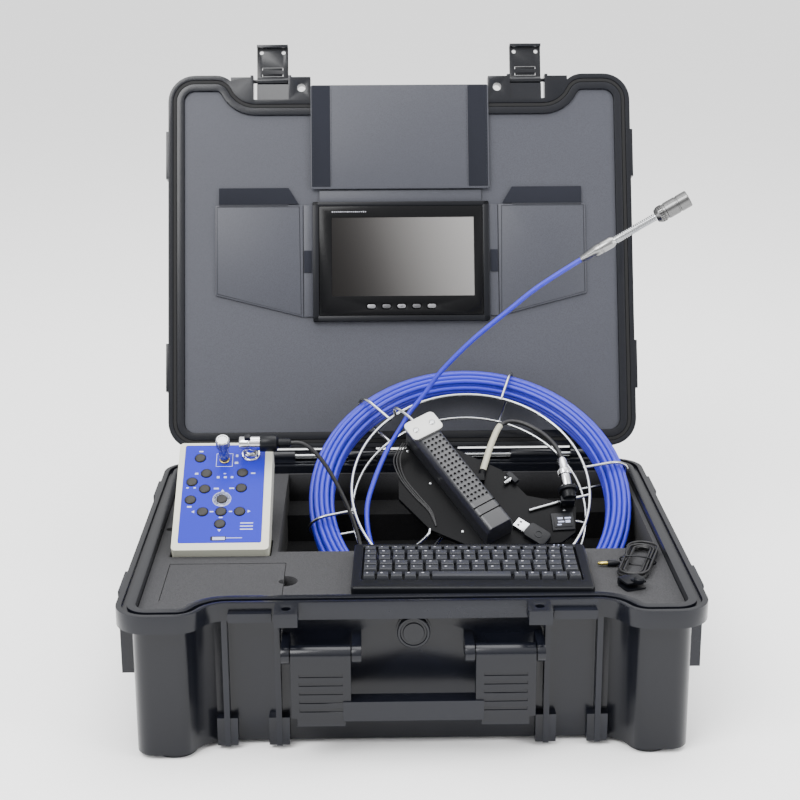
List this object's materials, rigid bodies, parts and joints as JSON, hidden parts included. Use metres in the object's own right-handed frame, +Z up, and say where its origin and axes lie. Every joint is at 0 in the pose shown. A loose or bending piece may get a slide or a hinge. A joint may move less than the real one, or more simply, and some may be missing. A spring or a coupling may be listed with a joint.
{
  "type": "pipe inspection camera kit",
  "caption": "Open hard case with a lid monitor and folding sun shades, control box, blue push rod on a wire reel with a camera head, small keyboard and microphone lead.",
  "frame": {"origin": "middle of the footprint of the open kit, on the surface it stands on", "axes": "+Z up, +X to the right across the case, +Y from the handle side to the hinge side"},
  "size_m": [0.5418, 0.6012, 0.5647],
  "materials": {
    "case_plastic": "fine moulded texture",
    "black_plastic": "satin",
    "gasket_rubber": "matte",
    "steel": "bright wire and turned parts",
    "chrome": "polished",
    "foam": "open-cell foam",
    "panel_cloth": "grey leatherette",
    "display": "glossy screen",
    "silver_plastic": "silver paint",
    "cream_plastic": "satin",
    "blue_overlay": "printed film",
    "key_rubber": "soft satin",
    "grip_rubber": "dimpled",
    "aluminium": "brushed",
    "blue_rod": "glossy jacket",
    "cord_rubber": "satin jacket",
    "clear_window": "clear"
  },
  "bodies": {
    "case": {"case_base": "case_plastic", "hinge_rod": "steel", "foam_tray": "foam"},
    "lid": {"case_lid": "case_plastic", "lid_gasket": "gasket_rubber", "lid_panel": "panel_cloth", "monitor_shroud": "panel_cloth", "monitor_body": "black_plastic", "display_glass": "display"},
    "left_latch": {"latch_left": "black_plastic"},
    "right_latch": {"latch_right": "black_plastic"},
    "handle": {"carry_handle": "case_plastic"},
    "valve": {"pressure_valve": "black_plastic"},
    "pocket_cover": {"pocket_lid": "foam"},
    "top_flap": {"shade_top": "panel_cloth"},
    "left_flap": {"shade_left": "panel_cloth"},
    "right_flap": {"shade_right": "panel_cloth"},
    "monitor_key_1": {"monitor_button_1": "silver_plastic"},
    "monitor_key_2": {"monitor_button_2": "silver_plastic"},
    "monitor_key_3": {"monitor_button_3": "silver_plastic"},
    "monitor_key_4": {"monitor_button_4": "silver_plastic"},
    "monitor_key_5": {"monitor_button_5": "silver_plastic"},
    "control_box": {"control_case": "cream_plastic", "control_overlay": "blue_overlay", "control_socket": "chrome", "lead_plug": "chrome", "control_lead": "cord_rubber"},
    "knob": {"control_knob": "steel"},
    "control_key_01": {"control_button_01": "key_rubber"},
    "control_key_02": {"control_button_02": "key_rubber"},
    "control_key_03": {"control_button_03": "key_rubber"},
    "control_key_04": {"control_button_04": "key_rubber"},
    "control_key_05": {"control_button_05": "key_rubber"},
    "control_key_06": {"control_button_06": "key_rubber"},
    "control_key_07": {"control_button_07": "key_rubber"},
    "control_key_08": {"control_button_08": "key_rubber"},
    "control_key_09": {"control_button_09": "key_rubber"},
    "control_key_10": {"control_button_10": "key_rubber"},
    "control_key_11": {"control_button_11": "key_rubber"},
    "control_key_12": {"control_button_12": "key_rubber"},
    "reel": {"reel_frame": "steel", "reel_hub": "black_plastic", "reel_grip": "grip_rubber", "clamp_plate": "aluminium", "reel_socket": "black_plastic", "tail_plug": "steel", "tail_lead": "cord_rubber", "push_rod_coil": "blue_rod", "push_rod_free": "blue_rod", "head_ferrule": "steel", "head_spring": "steel", "head_housing": "steel", "head_window": "clear_window", "memory_card": "black_plastic"},
    "keyboard": {"keyboard_tray": "black_plastic", "key_mat": "black_plastic"},
    "space_key": {"space_bar": "black_plastic"},
    "microphone": {"mic_lead": "cord_rubber", "mic_jack": "steel", "mic_clip": "black_plastic"}
  },
  "joints": [
    {"name": "lid_hinge", "type": "hinge", "parent": "case", "child": "lid", "pos_m": [0, 0.11576, 0.142], "axis": [-1, 0, 0], "range_deg": [-4, 0]},
    {"name": "latch_left_pivot", "type": "hinge", "parent": "lid", "child": "left_latch", "pos_m": [-0.1385, 0.26519, 0.52534], "axis": [1, 0, 0], "range_deg": [0, 90]},
    {"name": "latch_right_pivot", "type": "hinge", "parent": "lid", "child": "right_latch", "pos_m": [0.1385, 0.26519, 0.52534], "axis": [1, 0, 0], "range_deg": [0, 90]},
    {"name": "handle_pivot", "type": "hinge", "parent": "case", "child": "handle", "pos_m": [0, -0.28864, 0.098], "axis": [-1, 0, 0], "range_deg": [0, 88]},
    {"name": "valve_turn", "type": "hinge", "parent": "case", "child": "valve", "pos_m": [0.001, -0.26464, 0.107], "axis": [0, -1, 0], "range_deg": [-180, 180]},
    {"name": "pocket_lift", "type": "slide", "parent": "case", "child": "pocket_cover", "axis": [0, 0, 1], "range_m": [0, 0.06]},
    {"name": "top_flap_hinge", "type": "hinge", "parent": "lid", "child": "top_flap", "pos_m": [0, 0.21363, 0.41545], "axis": [1, 0, 0], "range_deg": [0, 90]},
    {"name": "left_flap_hinge", "type": "hinge", "parent": "lid", "child": "left_flap", "pos_m": [-0.107, 0.18838, 0.33948], "axis": [0, 0.3518, 0.9361], "range_deg": [0, 90]},
    {"name": "right_flap_hinge", "type": "hinge", "parent": "lid", "child": "right_flap", "pos_m": [0.107, 0.18838, 0.33948], "axis": [0, -0.3518, -0.9361], "range_deg": [0, 90]},
    {"name": "monitor_key_1_press", "type": "slide", "parent": "lid", "child": "monitor_key_1", "axis": [0, 0.9361, -0.3518], "range_m": [0, 0.0008], "stiffness_N_per_m": 900, "springref_m": -0.0015},
    {"name": "monitor_key_2_press", "type": "slide", "parent": "lid", "child": "monitor_key_2", "axis": [0, 0.9361, -0.3518], "range_m": [0, 0.0008], "stiffness_N_per_m": 900, "springref_m": -0.0015},
    {"name": "monitor_key_3_press", "type": "slide", "parent": "lid", "child": "monitor_key_3", "axis": [0, 0.9361, -0.3518], "range_m": [0, 0.0008], "stiffness_N_per_m": 900, "springref_m": -0.0015},
    {"name": "monitor_key_4_press", "type": "slide", "parent": "lid", "child": "monitor_key_4", "axis": [0, 0.9361, -0.3518], "range_m": [0, 0.0008], "stiffness_N_per_m": 900, "springref_m": -0.0015},
    {"name": "monitor_key_5_press", "type": "slide", "parent": "lid", "child": "monitor_key_5", "axis": [0, 0.9361, -0.3518], "range_m": [0, 0.0008], "stiffness_N_per_m": 900, "springref_m": -0.0015},
    {"name": "control_box_lift", "type": "slide", "parent": "case", "child": "control_box", "axis": [0, 0, 1], "range_m": [0, 0.12]},
    {"name": "knob_turn", "type": "hinge", "parent": "control_box", "child": "knob", "pos_m": [-0.1754, -0.06386, 0.20439], "axis": [0, -0.5299, 0.848], "range_deg": [-135, 135]},
    {"name": "control_key_01_press", "type": "slide", "parent": "control_box", "child": "control_key_01", "axis": [0, 0.5299, -0.848], "range_m": [0, 0.001], "stiffness_N_per_m": 700, "springref_m": -0.0015},
    {"name": "control_key_02_press", "type": "slide", "parent": "control_box", "child": "control_key_02", "axis": [0, 0.5299, -0.848], "range_m": [0, 0.001], "stiffness_N_per_m": 700, "springref_m": -0.0015},
    {"name": "control_key_03_press", "type": "slide", "parent": "control_box", "child": "control_key_03", "axis": [0, 0.5299, -0.848], "range_m": [0, 0.001], "stiffness_N_per_m": 700, "springref_m": -0.0015},
    {"name": "control_key_04_press", "type": "slide", "parent": "control_box", "child": "control_key_04", "axis": [0, 0.5299, -0.848], "range_m": [0, 0.001], "stiffness_N_per_m": 700, "springref_m": -0.0015},
    {"name": "control_key_05_press", "type": "slide", "parent": "control_box", "child": "control_key_05", "axis": [0, 0.5299, -0.848], "range_m": [0, 0.001], "stiffness_N_per_m": 700, "springref_m": -0.0015},
    {"name": "control_key_06_press", "type": "slide", "parent": "control_box", "child": "control_key_06", "axis": [0, 0.5299, -0.848], "range_m": [0, 0.001], "stiffness_N_per_m": 700, "springref_m": -0.0015},
    {"name": "control_key_07_press", "type": "slide", "parent": "control_box", "child": "control_key_07", "axis": [0, 0.5299, -0.848], "range_m": [0, 0.001], "stiffness_N_per_m": 700, "springref_m": -0.0015},
    {"name": "control_key_08_press", "type": "slide", "parent": "control_box", "child": "control_key_08", "axis": [0, 0.5299, -0.848], "range_m": [0, 0.001], "stiffness_N_per_m": 700, "springref_m": -0.0015},
    {"name": "control_key_09_press", "type": "slide", "parent": "control_box", "child": "control_key_09", "axis": [0, 0.5299, -0.848], "range_m": [0, 0.001], "stiffness_N_per_m": 700, "springref_m": -0.0015},
    {"name": "control_key_10_press", "type": "slide", "parent": "control_box", "child": "control_key_10", "axis": [0, 0.5299, -0.848], "range_m": [0, 0.001], "stiffness_N_per_m": 700, "springref_m": -0.0015},
    {"name": "control_key_11_press", "type": "slide", "parent": "control_box", "child": "control_key_11", "axis": [0, 0.5299, -0.848], "range_m": [0, 0.001], "stiffness_N_per_m": 700, "springref_m": -0.0015},
    {"name": "control_key_12_press", "type": "slide", "parent": "control_box", "child": "control_key_12", "axis": [0, 0.5299, -0.848], "range_m": [0, 0.001], "stiffness_N_per_m": 700, "springref_m": -0.0015},
    {"name": "reel_lift", "type": "slide", "parent": "case", "child": "reel", "axis": [0, 0, 1], "range_m": [0, 0.02]},
    {"name": "keyboard_lift", "type": "slide", "parent": "case", "child": "keyboard", "axis": [0, 0, 1], "range_m": [0, 0.12]},
    {"name": "space_key_press", "type": "slide", "parent": "keyboard", "child": "space_key", "axis": [0, 0, -1], "range_m": [0, 0.0005], "stiffness_N_per_m": 900, "springref_m": -0.0015},
    {"name": "microphone_lift", "type": "slide", "parent": "case", "child": "microphone", "axis": [0, 0, 1], "range_m": [0, 0.1]}
  ]
}
